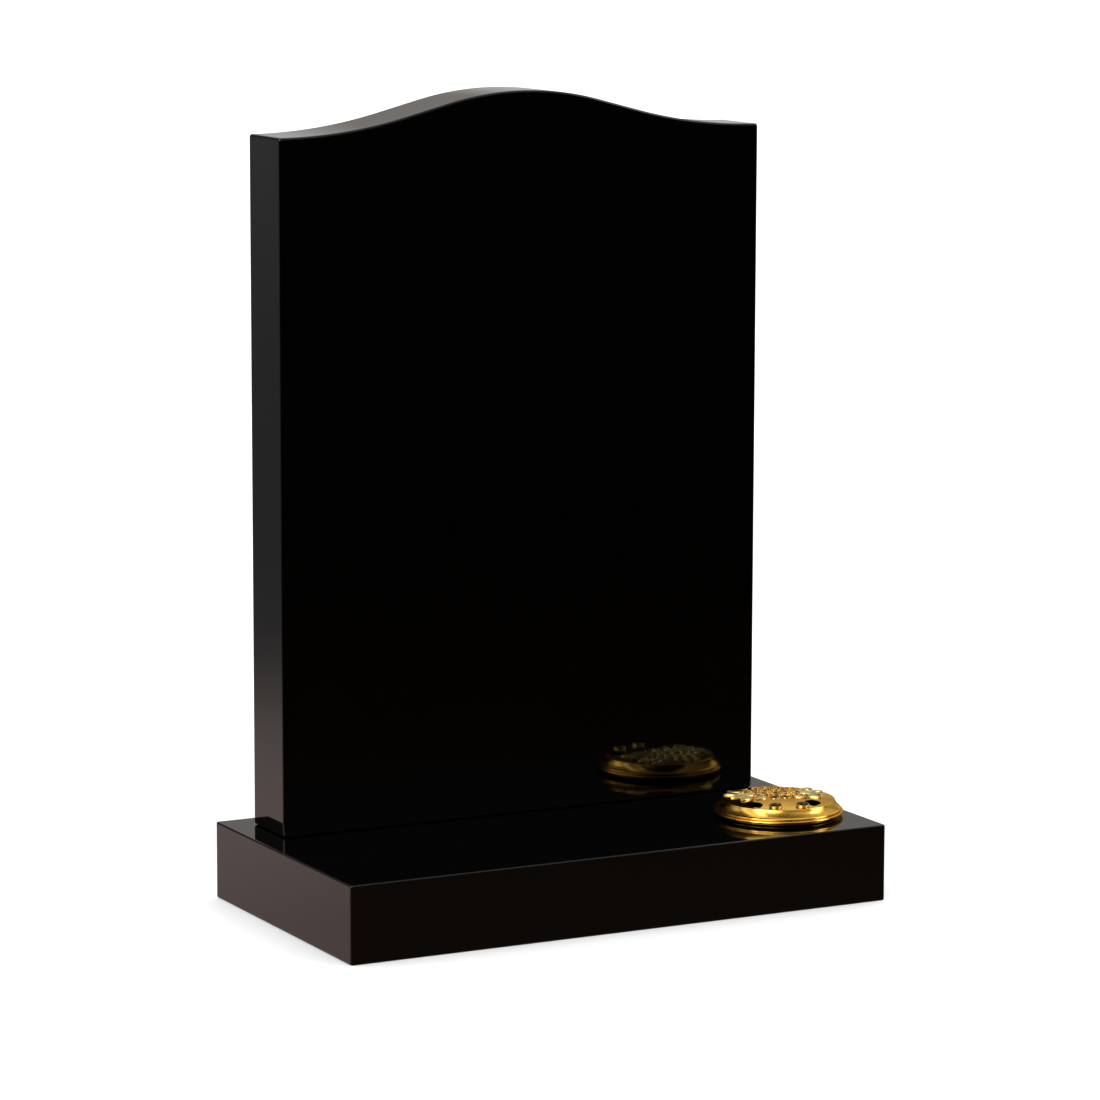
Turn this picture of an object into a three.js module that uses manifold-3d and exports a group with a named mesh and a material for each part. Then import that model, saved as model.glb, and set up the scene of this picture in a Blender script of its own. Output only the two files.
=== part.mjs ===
// Upright memorial of polished black granite: an ogee-topped headstone on a plinth,
// with a pierced gilt flower holder let into the plinth's right end.
// Millimetres, +Z up, the front faces -Y. The origin is the middle of the plinth's underside.

import * as THREE from 'three';
import { mergeVertices } from 'three/addons/utils/BufferGeometryUtils.js';
import Module from 'manifold-3d';

// Plinth
const PLINTH_LENGTH = 610;
const PLINTH_DEPTH = 328;
const PLINTH_HEIGHT = 80;

// Headstone: a level shoulder at each side, and between them a rounded crown
// that falls by a straight slope and a hollow curve to the shoulders
const STONE_WIDTH = 550;
const STONE_THICKNESS = 74;
const SHOULDER_HEIGHT = 710;
const CROWN_RISE = 41;
const CROWN_HALF_WIDTH = 85.5;
const SLOPE_RUN = 48;
const STONE_SETBACK = 30;

// Eased edges of both stones, and the rounding of their corners as seen face on
const ARRIS = 2.5;
const CORNER_RADIUS = 3;
const ARRIS_STEPS = 3;
const CURVE_STEPS = 5;

// Air left between pieces that rest on each other
const SEAT_GAP = 0.3;

// Flower holder: its axis from the plinth's right end and from the plinth's front
const HOLDER_FROM_END = 73;
const HOLDER_FROM_FRONT = 95.5;
const TURNED_STEPS = 48;

// Flower pot, hung in the plinth's bore by its flange, with a collar that centres the lid
const POT_MOUTH_RADIUS = 54;
const POT_FOOT_RADIUS = 47;
const POT_WALL = 1.5;
const POT_DEPTH = 58;
const POT_COLLAR_HEIGHT = 5;
const FLANGE_RADIUS = 62;
const FLANGE_THICKNESS = 2.7;
const BORE_CLEARANCE = 1.5;
const BORE_FLOOR_CLEARANCE = 3;

// Flower lid: two beads round the rim, a hollow band above them and a shallow domed top
const LID_RADIUS = 68;
const LID_WALL = 2.5;
const LID_FIT_CLEARANCE = 1.2;
const RIM_BEAD_RADIUS = 1.35;
const SMALL_BEAD_RADIUS = 1.2;
const SMALL_BEAD_INSET = 2.2;
const BEAD_ARC = THREE.MathUtils.degToRad(70);
const BAND_FOOT_INSET = 4;
const BAND_FOOT_HEIGHT = 5.6;
const TOP_EDGE_INSET = 9;
const TOP_EDGE_HEIGHT = 13.5;
const BAND_HOLLOW = 0.7;
const DOME_RISE = 2.6;
const LID_TURN = THREE.MathUtils.degToRad(-16.4);

// Stem holes, each in a raised collar: a pair near the front and a smaller pair in the middle
const STEM_HOLE_RADIUS = 5;
const STEM_HOLE_RING = 48;
const STEM_HOLE_SPREAD = THREE.MathUtils.degToRad(17.33);
const MIDDLE_HOLE_RADIUS = 3.3;
const MIDDLE_HOLE_OFFSET = 6;
const MIDDLE_HOLE_FORWARD = 9.5;
const STEM_COLLAR_WIDTH = 2.2;
const STEM_COLLAR_HEIGHT = 2.4;
const STEM_COLLAR_FLARE = 0.6;
const STEM_STEPS = 18;

// Leaf-shaped openings, one at each side of the front stem holes, at the places that the photo shows
const OPENING_LENGTH = 26;
const OPENING_WIDTH = 17;
const RIGHT_OPENING_ACROSS = 28.3;
const RIGHT_OPENING_FORWARD = 34;
const LEFT_OPENING_ACROSS = 33;
const LEFT_OPENING_FORWARD = 32.5;
const OPENINGS = [
  { x: RIGHT_OPENING_ACROSS, y: -RIGHT_OPENING_FORWARD, turn: THREE.MathUtils.degToRad(-100) },
  { x: -LEFT_OPENING_ACROSS, y: -LEFT_OPENING_FORWARD, turn: THREE.MathUtils.degToRad(-80) },
];

// Blossoms, packed over the lid's back part on a sunflower spiral
const BLOSSOM_RADIUS = 7.2;
const BLOSSOM_HEIGHT = 2.6;
const BLOSSOM_PETALS = 5;
const BLOSSOM_LOBE = 0.16;
const BLOSSOM_SPACING = 7.45;
const BLOSSOM_LIMIT = 50;
const BLOSSOM_FORWARD = 6;
const SPRAY_MARGIN = 1;
const GOLDEN_ANGLE = Math.PI * (3 - Math.sqrt(5));

// Raised leaves that fringe the blossoms: ring radius, angle from the lid's right and turn
const LEAF_LENGTH = 21;
const LEAF_WIDTH = 9.5;
const LEAF_HEIGHT = 1.6;
const LEAF_RIB = 0.9;
const SIDE_LEAF_RING = 40.5;
const INNER_LEAF_RING = 23;
const MIDDLE_LEAF_RING = 47;
const BACK_LEAF_RING = 48;
const LEAVES = [
  { ring: SIDE_LEAF_RING, angle: THREE.MathUtils.degToRad(-19), turn: THREE.MathUtils.degToRad(-52) },
  { ring: INNER_LEAF_RING, angle: THREE.MathUtils.degToRad(-23), turn: THREE.MathUtils.degToRad(-34) },
  { ring: MIDDLE_LEAF_RING, angle: THREE.MathUtils.degToRad(8), turn: THREE.MathUtils.degToRad(10) },
  { ring: BACK_LEAF_RING, angle: THREE.MathUtils.degToRad(36), turn: THREE.MathUtils.degToRad(30) },
];

// How deep raised ornament is rooted in the lid's wall
const ORNAMENT_ROOT = 1.4;

// Places worked out from the sizes above
const plinthRight = PLINTH_LENGTH / 2;
const plinthFront = -PLINTH_DEPTH / 2;
const stoneMiddle = PLINTH_DEPTH / 2 - STONE_SETBACK - STONE_THICKNESS / 2;
const holderX = plinthRight - HOLDER_FROM_END;
const holderY = plinthFront + HOLDER_FROM_FRONT;
const potOuterRadius = POT_MOUTH_RADIUS + POT_WALL;
const potFootOuterRadius = POT_FOOT_RADIUS + POT_WALL;
const potUnderside = -POT_DEPTH - POT_WALL;
const boreRadius = potOuterRadius + BORE_CLEARANCE;
const boreDepth = POT_DEPTH + POT_WALL + BORE_FLOOR_CLEARANCE;
const flangeTop = SEAT_GAP + FLANGE_THICKNESS;
const lidInnerRadius = potOuterRadius + LID_FIT_CLEARANCE;
const topEdgeRadius = LID_RADIUS - TOP_EDGE_INSET;
const domeRadius = (topEdgeRadius ** 2 + DOME_RISE ** 2) / (2 * DOME_RISE);

const granite = new THREE.MeshStandardMaterial({ color: 0x0b0a0a, roughness: 0.08, metalness: 0 });
const plinthGranite = granite.clone();
const gilt = new THREE.MeshStandardMaterial({ color: 0xd9a441, roughness: 0.18, metalness: 1 });
const potMetal = new THREE.MeshStandardMaterial({ color: 0x8d7340, roughness: 0.45, metalness: 1 });

const wasm = await Module();
wasm.setup();

// Closed solid for joining and cutting, from any closed geometry
function toSolid(geometry) {
  const bare = geometry.clone();
  bare.deleteAttribute('normal');
  bare.deleteAttribute('uv');
  const merged = mergeVertices(bare, 1e-4);
  const triangles = [];
  const index = merged.index.array;
  for (let i = 0; i < index.length; i += 3) {
    const [a, b, c] = [index[i], index[i + 1], index[i + 2]];
    if (a !== b && b !== c && c !== a) {
      triangles.push(a, b, c);
    }
  }
  const vertProperties = new Float32Array(merged.attributes.position.array);
  const triVerts = new Uint32Array(triangles);
  return new wasm.Manifold(new wasm.Mesh({ numProp: 3, vertProperties, triVerts }));
}

// Flat-shaded geometry from a solid
function toGeometry(solid) {
  const mesh = solid.getMesh();
  const geometry = new THREE.BufferGeometry();
  geometry.setAttribute('position', new THREE.BufferAttribute(mesh.vertProperties, 3));
  geometry.setIndex(new THREE.BufferAttribute(mesh.triVerts, 1));
  return geometry;
}

// Solid turned about the Z axis from a profile of radius and height pairs
function turned(profile, steps = TURNED_STEPS) {
  const points = profile.map(([radius, height]) => new THREE.Vector2(radius, height));
  return new THREE.LatheGeometry(points, steps).rotateX(Math.PI / 2);
}

// Points of an arc as radius and height pairs, from one angle to another
function arc(centreRadius, centreHeight, radius, from, to, steps) {
  const points = [];
  for (let i = 0; i <= steps; i += 1) {
    const angle = from + ((to - from) * i) / steps;
    points.push([centreRadius + radius * Math.cos(angle), centreHeight + radius * Math.sin(angle)]);
  }
  return points;
}

// Block cut from an outline, with its edges eased by the arris on both faces
function easedBlock(outline, thickness) {
  return new THREE.ExtrudeGeometry(outline, {
    depth: thickness - 2 * ARRIS,
    bevelThickness: ARRIS,
    bevelSize: ARRIS,
    bevelOffset: -ARRIS,
    bevelSegments: ARRIS_STEPS,
    curveSegments: CURVE_STEPS,
  });
}

// Angle of the straight slope between the crown and the hollow curves
function slopeAngle(run) {
  let halfTangent = CROWN_RISE / run;
  for (let i = 0; i < 30; i += 1) {
    halfTangent = CROWN_RISE / (run - SLOPE_RUN + (2 * SLOPE_RUN) / (1 - halfTangent ** 2));
  }
  return 2 * Math.atan(halfTangent);
}

// Headstone seen from the front, its foot on the X axis
function stoneOutline() {
  const half = STONE_WIDTH / 2;
  const c = CORNER_RADIUS;
  const run = half - c;
  const angle = slopeAngle(run);
  const crownRadius = CROWN_HALF_WIDTH / Math.sin(angle);
  const hollowRadius = (run - CROWN_HALF_WIDTH - SLOPE_RUN) / Math.sin(angle);
  const crownCentre = SHOULDER_HEIGHT + CROWN_RISE - crownRadius;
  const hollowCentre = SHOULDER_HEIGHT + hollowRadius;
  const right = 0;
  const up = Math.PI / 2;
  const left = Math.PI;
  const down = -Math.PI / 2;
  const outline = new THREE.Shape();
  outline.moveTo(-half + c, 0);
  outline.lineTo(half - c, 0);
  outline.absarc(half - c, c, c, down, right);
  outline.absarc(half - c, SHOULDER_HEIGHT - c, c, right, up);
  outline.absarc(run, hollowCentre, hollowRadius, down, down - angle, true);
  outline.absarc(0, crownCentre, crownRadius, up - angle, up + angle);
  outline.absarc(-run, hollowCentre, hollowRadius, down + angle, down, true);
  outline.absarc(-half + c, SHOULDER_HEIGHT - c, c, up, left);
  outline.absarc(-half + c, c, c, left, left + up);
  return outline;
}

function headstoneGeometry() {
  const slab = easedBlock(stoneOutline(), STONE_THICKNESS);
  slab.translate(0, 0, ARRIS - STONE_THICKNESS / 2);
  return slab.rotateX(Math.PI / 2);
}

// Plinth seen from above, centred on the origin
function plinthOutline() {
  const x = PLINTH_LENGTH / 2;
  const y = PLINTH_DEPTH / 2;
  const c = CORNER_RADIUS;
  const outline = new THREE.Shape();
  outline.moveTo(-x + c, -y);
  outline.absarc(x - c, -y + c, c, -Math.PI / 2, 0);
  outline.absarc(x - c, y - c, c, 0, Math.PI / 2);
  outline.absarc(-x + c, y - c, c, Math.PI / 2, Math.PI);
  outline.absarc(-x + c, -y + c, c, Math.PI, Math.PI * 1.5);
  return outline;
}

function plinthGeometry() {
  const block = easedBlock(plinthOutline(), PLINTH_HEIGHT).translate(0, 0, ARRIS);
  const overrun = 5;
  const bore = new THREE.CylinderGeometry(boreRadius, boreRadius, boreDepth + overrun, TURNED_STEPS);
  bore.rotateX(Math.PI / 2);
  bore.translate(holderX, holderY, PLINTH_HEIGHT + (overrun - boreDepth) / 2);
  return toGeometry(toSolid(block).subtract(toSolid(bore)));
}

// Pot with its heights measured from the plinth's top
function potGeometry() {
  const collarTop = flangeTop + POT_COLLAR_HEIGHT;
  return turned([
    [0, potUnderside],
    [potFootOuterRadius, potUnderside],
    [potOuterRadius, 0],
    [potOuterRadius, SEAT_GAP],
    [FLANGE_RADIUS, SEAT_GAP],
    [FLANGE_RADIUS, flangeTop],
    [potOuterRadius, flangeTop],
    [potOuterRadius, collarTop],
    [POT_MOUTH_RADIUS, collarTop],
    [POT_MOUTH_RADIUS, 0],
    [POT_FOOT_RADIUS, -POT_DEPTH],
    [0, -POT_DEPTH],
  ]);
}

// Height of the lid's domed top at a distance from its middle
function domeHeight(radius) {
  const sag = domeRadius - Math.sqrt(domeRadius ** 2 - radius ** 2);
  return TOP_EDGE_HEIGHT + DOME_RISE - sag;
}

// Lid without its ornament, as a shell that is open below, its underside at height zero
function lidShell() {
  const smallBead = LID_RADIUS - SMALL_BEAD_INSET - SMALL_BEAD_RADIUS;
  const smallBeadHeight = 2 * RIM_BEAD_RADIUS + SMALL_BEAD_RADIUS;
  const bandFoot = LID_RADIUS - BAND_FOOT_INSET;
  const bandMiddle = (bandFoot + topEdgeRadius) / 2 - BAND_HOLLOW;
  const bandMiddleHeight = (BAND_FOOT_HEIGHT + TOP_EDGE_HEIGHT) / 2;
  const domeRings = 3;
  const top = [];
  const ceiling = [];
  for (let i = domeRings; i >= 0; i -= 1) {
    const radius = (topEdgeRadius * i) / domeRings;
    top.push([radius, domeHeight(radius)]);
    const innerRadius = (lidInnerRadius * i) / domeRings;
    ceiling.unshift([innerRadius, domeHeight(innerRadius) - LID_WALL]);
  }
  return turned([
    ...ceiling,
    [lidInnerRadius, 0],
    ...arc(LID_RADIUS - RIM_BEAD_RADIUS, RIM_BEAD_RADIUS, RIM_BEAD_RADIUS, -Math.PI / 2, Math.PI / 2, 4),
    ...arc(smallBead, smallBeadHeight, SMALL_BEAD_RADIUS, -BEAD_ARC, BEAD_ARC, 2),
    [bandFoot, BAND_FOOT_HEIGHT],
    [bandMiddle, bandMiddleHeight],
    ...top,
  ]);
}

// Cylinder along Z that runs right through the lid
function stemCutter({ x, y, radius }) {
  const height = 4 * TOP_EDGE_HEIGHT;
  const cutter = new THREE.CylinderGeometry(radius, radius, height, STEM_STEPS);
  return cutter.rotateX(Math.PI / 2).translate(x, y, 0);
}

// Raised ring of metal, flared to its mouth, that the stem hole is cut through
function stemCollar({ x, y, radius }) {
  const outer = radius + STEM_COLLAR_WIDTH;
  const height = STEM_COLLAR_HEIGHT + ORNAMENT_ROOT;
  const collar = new THREE.CylinderGeometry(outer + STEM_COLLAR_FLARE, outer, height, STEM_STEPS);
  const foot = domeHeight(Math.hypot(x, y)) - ORNAMENT_ROOT;
  return collar.rotateX(Math.PI / 2).translate(x, y, foot + height / 2);
}

// Stem holes in the lid's own plane: a pair near the front and a pair in the middle
function stemHoles() {
  const across = STEM_HOLE_RING * Math.sin(STEM_HOLE_SPREAD);
  const forward = -STEM_HOLE_RING * Math.cos(STEM_HOLE_SPREAD);
  return [-1, 1].flatMap((side) => [
    { x: side * across, y: forward, radius: STEM_HOLE_RADIUS },
    { x: side * MIDDLE_HOLE_OFFSET, y: -MIDDLE_HOLE_FORWARD, radius: MIDDLE_HOLE_RADIUS },
  ]);
}

// Pointed leaf in the XY plane, its stalk end at the origin and its tip on +X
function leafOutline(length, width) {
  const outline = new THREE.Shape();
  outline.moveTo(0, 0);
  outline.quadraticCurveTo(length * 0.45, -width, length, 0);
  outline.quadraticCurveTo(length * 0.45, width, 0, 0);
  return outline;
}

// Leaf-shaped cutter that runs right through the lid, at one side of its front
function leafOpening({ x, y, turn }) {
  const outline = leafOutline(OPENING_LENGTH, OPENING_WIDTH);
  const height = 4 * TOP_EDGE_HEIGHT;
  const cutter = new THREE.ExtrudeGeometry(outline, { depth: height, bevelEnabled: false, curveSegments: 6 });
  return cutter
    .translate(-OPENING_LENGTH / 2, 0, -height / 2)
    .rotateZ(turn)
    .translate(x, y, 0);
}

// Raised leaf with a rib along its middle, laid on the dome
function raisedLeaf({ ring, angle, turn }, side) {
  const height = ORNAMENT_ROOT + LEAF_HEIGHT - LEAF_RIB;
  const leaf = new THREE.ExtrudeGeometry(leafOutline(LEAF_LENGTH, LEAF_WIDTH), {
    depth: height,
    bevelThickness: LEAF_RIB,
    bevelSize: LEAF_WIDTH / 5,
    bevelOffset: -LEAF_WIDTH / 5,
    bevelSegments: 1,
    curveSegments: 4,
  });
  const place = side > 0 ? angle : Math.PI - angle;
  const heading = side > 0 ? turn : Math.PI - turn;
  const x = ring * Math.cos(place);
  const y = ring * Math.sin(place);
  return leaf
    .translate(-LEAF_LENGTH / 2, 0, 0)
    .rotateZ(heading)
    .translate(x, y, domeHeight(ring + LEAF_LENGTH / 4) - ORNAMENT_ROOT);
}

// Open blossom: a turned button and cup whose rim is drawn out into petals
function blossom({ x, y, turn }) {
  const r = BLOSSOM_RADIUS;
  const h = BLOSSOM_HEIGHT;
  const steps = BLOSSOM_PETALS * 2;
  const flower = turned([
    [0, -ORNAMENT_ROOT],
    [r * 0.85, -ORNAMENT_ROOT],
    [r, h * 0.4],
    [r * 0.7, h * 0.85],
    [r * 0.34, h * 0.5],
    [0, h],
  ], steps);
  const position = flower.attributes.position;
  for (let i = 0; i < position.count; i += 1) {
    const px = position.getX(i);
    const py = position.getY(i);
    const reach = Math.min(Math.hypot(px, py) / r, 1);
    const lobe = 1 + BLOSSOM_LOBE * reach * Math.cos(BLOSSOM_PETALS * Math.atan2(py, px));
    position.setXY(i, px * lobe, py * lobe);
  }
  return flower.rotateZ(turn).translate(x, y, domeHeight(Math.hypot(x, y)));
}

// Places of the blossoms, clear of the stem holes and of the bare front of the lid
function blossomPlaces(holes) {
  const places = [];
  const turns = (BLOSSOM_LIMIT / BLOSSOM_SPACING) ** 2;
  for (let k = 0; k < turns; k += 1) {
    const ring = BLOSSOM_SPACING * Math.sqrt(k + 0.5);
    const x = ring * Math.cos(k * GOLDEN_ANGLE);
    const y = ring * Math.sin(k * GOLDEN_ANGLE);
    const clear = holes.every((hole) => {
      const reach = hole.radius + STEM_COLLAR_WIDTH + BLOSSOM_RADIUS - SPRAY_MARGIN;
      return Math.hypot(x - hole.x, y - hole.y) > reach;
    });
    if (clear && ring < BLOSSOM_LIMIT && y > -BLOSSOM_FORWARD) {
      places.push({ x, y, turn: k * GOLDEN_ANGLE });
    }
  }
  return places;
}

function lidGeometry() {
  const holes = stemHoles();
  let lid = toSolid(lidShell());
  const raised = [
    ...holes.map(stemCollar),
    ...blossomPlaces(holes).map(blossom),
    ...LEAVES.flatMap((leaf) => [raisedLeaf(leaf, -1), raisedLeaf(leaf, 1)]),
  ];
  for (const ornament of raised) {
    lid = lid.add(toSolid(ornament));
  }
  for (const cutter of [...holes.map(stemCutter), ...OPENINGS.map(leafOpening)]) {
    lid = lid.subtract(toSolid(cutter));
  }
  return toGeometry(lid);
}

function piece(name, geometry, material) {
  const mesh = new THREE.Mesh(geometry, material);
  mesh.name = name;
  return mesh;
}

const memorial = new THREE.Group();

const headstone = piece('headstone', headstoneGeometry(), granite);
headstone.position.set(0, stoneMiddle, PLINTH_HEIGHT + SEAT_GAP);

const plinth = piece('plinth', plinthGeometry(), plinthGranite);

const flowerHolder = new THREE.Group();
flowerHolder.position.set(holderX, holderY, PLINTH_HEIGHT);

const flowerPot = piece('flower_pot', potGeometry(), potMetal);

const flowerLid = piece('flower_lid', lidGeometry(), gilt);
flowerLid.position.z = flangeTop + SEAT_GAP;
flowerLid.rotation.z = LID_TURN;

flowerHolder.add(flowerPot, flowerLid);
memorial.add(headstone, plinth, flowerHolder);

export default memorial;
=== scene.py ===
"""Dresses a polished black granite headstone, its plinth and its gilt flower holder in their studio.

The sizes in the classes are in millimetres, as on a mason's drawing, and MM turns them into metres.
"""

import logging
import math
from collections.abc import Callable, Iterator, Sequence
from contextlib import contextmanager
from dataclasses import dataclass
from enum import Enum

import bmesh
import bpy
from mathutils import Matrix, Vector

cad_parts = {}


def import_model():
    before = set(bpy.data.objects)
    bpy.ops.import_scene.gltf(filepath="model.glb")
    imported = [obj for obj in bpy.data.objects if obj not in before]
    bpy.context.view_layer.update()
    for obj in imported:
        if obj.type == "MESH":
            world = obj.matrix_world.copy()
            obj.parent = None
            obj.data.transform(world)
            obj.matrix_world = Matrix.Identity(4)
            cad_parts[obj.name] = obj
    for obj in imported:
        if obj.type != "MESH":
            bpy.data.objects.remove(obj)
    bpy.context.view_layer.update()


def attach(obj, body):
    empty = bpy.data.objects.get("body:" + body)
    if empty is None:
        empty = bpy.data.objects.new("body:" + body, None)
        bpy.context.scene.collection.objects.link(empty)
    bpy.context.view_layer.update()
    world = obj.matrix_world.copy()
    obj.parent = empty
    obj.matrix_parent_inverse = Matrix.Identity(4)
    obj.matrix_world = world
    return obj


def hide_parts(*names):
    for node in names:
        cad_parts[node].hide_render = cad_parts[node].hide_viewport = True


MM = 0.001
# How near to a grid's line its vertices lie, and how long the long corners of a stone are at least.
ON_LINE = 0.05 * MM
LONG_EDGE = 10 * MM
# The radius that the blossom's profiles are drawn for, in millimetres.
DRAWN_BLOSSOM = 5.6
PETALS = 5
GOLDEN_ANGLE = math.pi * (3 - math.sqrt(5))
# A ramp's colours stop at 1, so it holds a tenth of the room's brightness.
RAMP_SHARE = 10.0
WHITE = (1, 1, 1)
BODY = "root"
log = logging.getLogger("headstone")

Piece = bpy.types.Object
Socket = bpy.types.NodeSocket
Colour = tuple[float, float, float]
Point = tuple[float, float, float]
Ring = tuple[float, float]
Pair = tuple[object, object]
Stop = tuple[float, Colour | float]
Feeds = dict[str | int, object]


class Hold(Enum):
    """What the hand takes hold of in edit mode."""

    VERTS = "VERT"
    EDGES = "EDGE"
    FACES = "FACE"


class Slot(Enum):
    """The record's material slots, one for each kind of piece."""

    HEADSTONE = "headstone_granite"
    PLINTH = "plinth_granite"
    POT = "pot_metal"
    GILT = "gilt_metal"


class Bench:
    """The hand tools that every piece is made with."""

    @staticmethod
    def clear() -> None:
        """Deselects everything, the frame's nodes too."""
        bpy.ops.object.select_all(action="DESELECT")

    @staticmethod
    def take(piece: Piece) -> None:
        """Selects one piece and nothing else.

        Args:
            piece: The piece to work on.
        """
        Bench.clear()
        piece.select_set(True)
        bpy.context.view_layer.objects.active = piece

    @staticmethod
    def start(name: str) -> Piece:
        """Names the primitive that was just added and settles its place in its mesh.

        Args:
            name: The piece's name.

        Returns:
            The new object, with its origin at the frame's origin.
        """
        piece = bpy.context.object
        piece.name = name
        piece.data.name = name
        bpy.ops.object.transform_apply(location=True, rotation=True, scale=True)
        return piece

    @staticmethod
    @contextmanager
    def shaping(piece: Piece, hold: Hold = Hold.VERTS) -> Iterator[None]:
        """Keeps a piece in edit mode while it is shaped.

        Args:
            piece: The piece to shape.
            hold: What the select mode takes hold of.

        Yields:
            Nothing; the piece is in edit mode with nothing selected.
        """
        Bench.take(piece)
        bpy.ops.object.mode_set(mode="EDIT")
        bpy.ops.mesh.select_mode(type=hold.value)
        bpy.ops.mesh.select_all(action="DESELECT")
        yield
        bpy.ops.object.mode_set(mode="OBJECT")

    @staticmethod
    def pick(piece: Piece, hold: Hold, test: Callable[..., bool]) -> None:
        """Selects what passes a test of place or normal, in edit mode.

        Args:
            piece: The piece being shaped.
            hold: Whether vertices, edges or faces are tested.
            test: Gets each element and says whether it is wanted.
        """
        bpy.ops.mesh.select_all(action="DESELECT")
        mesh = bmesh.from_edit_mesh(piece.data)
        elements = {Hold.VERTS: mesh.verts, Hold.EDGES: mesh.edges, Hold.FACES: mesh.faces}[hold]
        for element in filter(test, elements):
            element.select_set(True)
        mesh.select_flush_mode()
        bmesh.update_edit_mesh(piece.data)

    @staticmethod
    def outward(piece: Piece) -> None:
        """Merges doubles and turns every face outwards.

        Args:
            piece: A closed piece.
        """
        with Bench.shaping(piece, Hold.FACES):
            bpy.ops.mesh.select_all(action="SELECT")
            bpy.ops.mesh.remove_doubles(threshold=0.002 * MM)
            bpy.ops.mesh.normals_make_consistent(inside=False)

    @staticmethod
    def finish_with(piece: Piece, kind: str, **settings: object) -> None:
        """Adds a modifier with its settings and applies it.

        Args:
            piece: The piece that takes the modifier.
            kind: The modifier's type.
            **settings: The modifier's properties and their values.
        """
        Bench.take(piece)
        modifier = piece.modifiers.new(name=kind.title(), type=kind)
        for name, value in settings.items():
            setattr(modifier, name, value)
        bpy.ops.object.modifier_apply(modifier=modifier.name)

    @staticmethod
    def round_corners(stone: Piece, axis: int, half_width: float, radius: float) -> None:
        """Rounds the long corners at both ends of a sharp stone.

        Args:
            stone: The stone.
            axis: Which way the corners run, 1 for front to back and 2 for upright.
            half_width: Half the stone's width, in millimetres.
            radius: The corners' radius, in millimetres.
        """
        side = (half_width - 0.1) * MM
        with Bench.shaping(stone, Hold.EDGES):
            Bench.pick(
                stone,
                Hold.EDGES,
                lambda edge: all(abs(vert.co.x) > side for vert in edge.verts)
                and abs(edge.verts[0].co[axis] - edge.verts[1].co[axis]) > LONG_EDGE,
            )
            bpy.ops.mesh.bevel(offset=radius * MM, segments=6, affect="EDGES")

    @staticmethod
    def ease(stone: Piece, radius: float) -> None:
        """Eases the sharp edges of a stone.

        Args:
            stone: The stone.
            radius: The edges' radius, in millimetres.
        """
        limits = {"limit_method": "ANGLE", "angle_limit": math.radians(35), "use_clamp_overlap": False}
        Bench.finish_with(stone, "BEVEL", width=radius * MM, segments=5, **limits)

    @staticmethod
    def smooth(piece: Piece, angle: float, weight: int = 0) -> None:
        """Shades a piece smooth.

        Args:
            piece: The piece.
            angle: The sharpest edge that is smoothed over, in degrees.
            weight: How far the large faces lead the normals; 0 leaves them even.
        """
        Bench.take(piece)
        bpy.ops.object.shade_smooth_by_angle(angle=math.radians(angle))
        if weight:
            Bench.finish_with(piece, "WEIGHTED_NORMAL", mode="FACE_AREA", weight=weight, keep_sharp=True)

    @staticmethod
    def move(piece: Piece, place: Matrix) -> Piece:
        """Moves a piece and settles its place in its mesh.

        Args:
            piece: The piece, made round the frame's origin.
            place: Where it goes.

        Returns:
            The piece.
        """
        Bench.take(piece)
        piece.matrix_world = place
        bpy.ops.object.transform_apply(location=True, rotation=True, scale=True)
        return piece

    @staticmethod
    def copy(model: Piece, name: str, place: Matrix) -> Piece:
        """Copies a model with a mesh of its own and settles the copy in place.

        Args:
            model: The piece modelled once, round the frame's origin.
            name: The copy's name.
            place: Where the copy goes.

        Returns:
            The copy, with its place in its mesh.
        """
        Bench.take(model)
        bpy.ops.object.duplicate(linked=False)
        piece = bpy.context.object
        piece.name = name
        return Bench.move(piece, place)

    @staticmethod
    def join(name: str, pieces: Sequence[Piece]) -> Piece:
        """Joins several objects into one piece.

        Args:
            name: The piece's name.
            pieces: The objects, the first of which keeps its materials' order.

        Returns:
            The joined piece.
        """
        Bench.take(pieces[0])
        for piece in pieces:
            piece.select_set(True)
        bpy.ops.object.join()
        joined = bpy.context.object
        joined.name = name
        joined.data.name = name
        return joined

    @staticmethod
    def discard(piece: Piece) -> None:
        """Deletes a model or a cutter that has done its work.

        Args:
            piece: The object to delete.
        """
        Bench.take(piece)
        bpy.ops.object.delete()

    @staticmethod
    def cut(piece: Piece, cutter: Piece) -> None:
        """Cuts one solid out of another and deletes the cutter.

        Args:
            piece: The piece that loses material.
            cutter: The closed solid that is taken out.
        """
        Bench.finish_with(piece, "BOOLEAN", operation="DIFFERENCE", solver="EXACT", object=cutter)
        Bench.discard(cutter)

    @staticmethod
    def dress(piece: Piece, material: bpy.types.Material, test: Callable[..., bool] | None = None) -> None:
        """Gives a piece a material, on all its faces or on those that pass a test.

        Args:
            piece: The piece to dress.
            material: The material.
            test: Gets each face and says whether it is wanted.
        """
        piece.data.materials.append(material)
        if test is None:
            return
        with Bench.shaping(piece, Hold.FACES):
            Bench.pick(piece, Hold.FACES, test)
            piece.active_material_index = len(piece.data.materials) - 1
            bpy.ops.object.material_slot_assign()

    @staticmethod
    def hand_over(piece: Piece, node: str, slot: Slot) -> None:
        """Attaches a finished piece to the body, hides the CAD node that it replaces, and reports it.

        Args:
            piece: The finished piece.
            node: The CAD node that it replaces.
            slot: Not used.
        """
        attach(piece, BODY)
        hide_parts(node)
        log.info("%s: %d faces, stands for %s", piece.name, len(piece.data.polygons), node)


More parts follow.
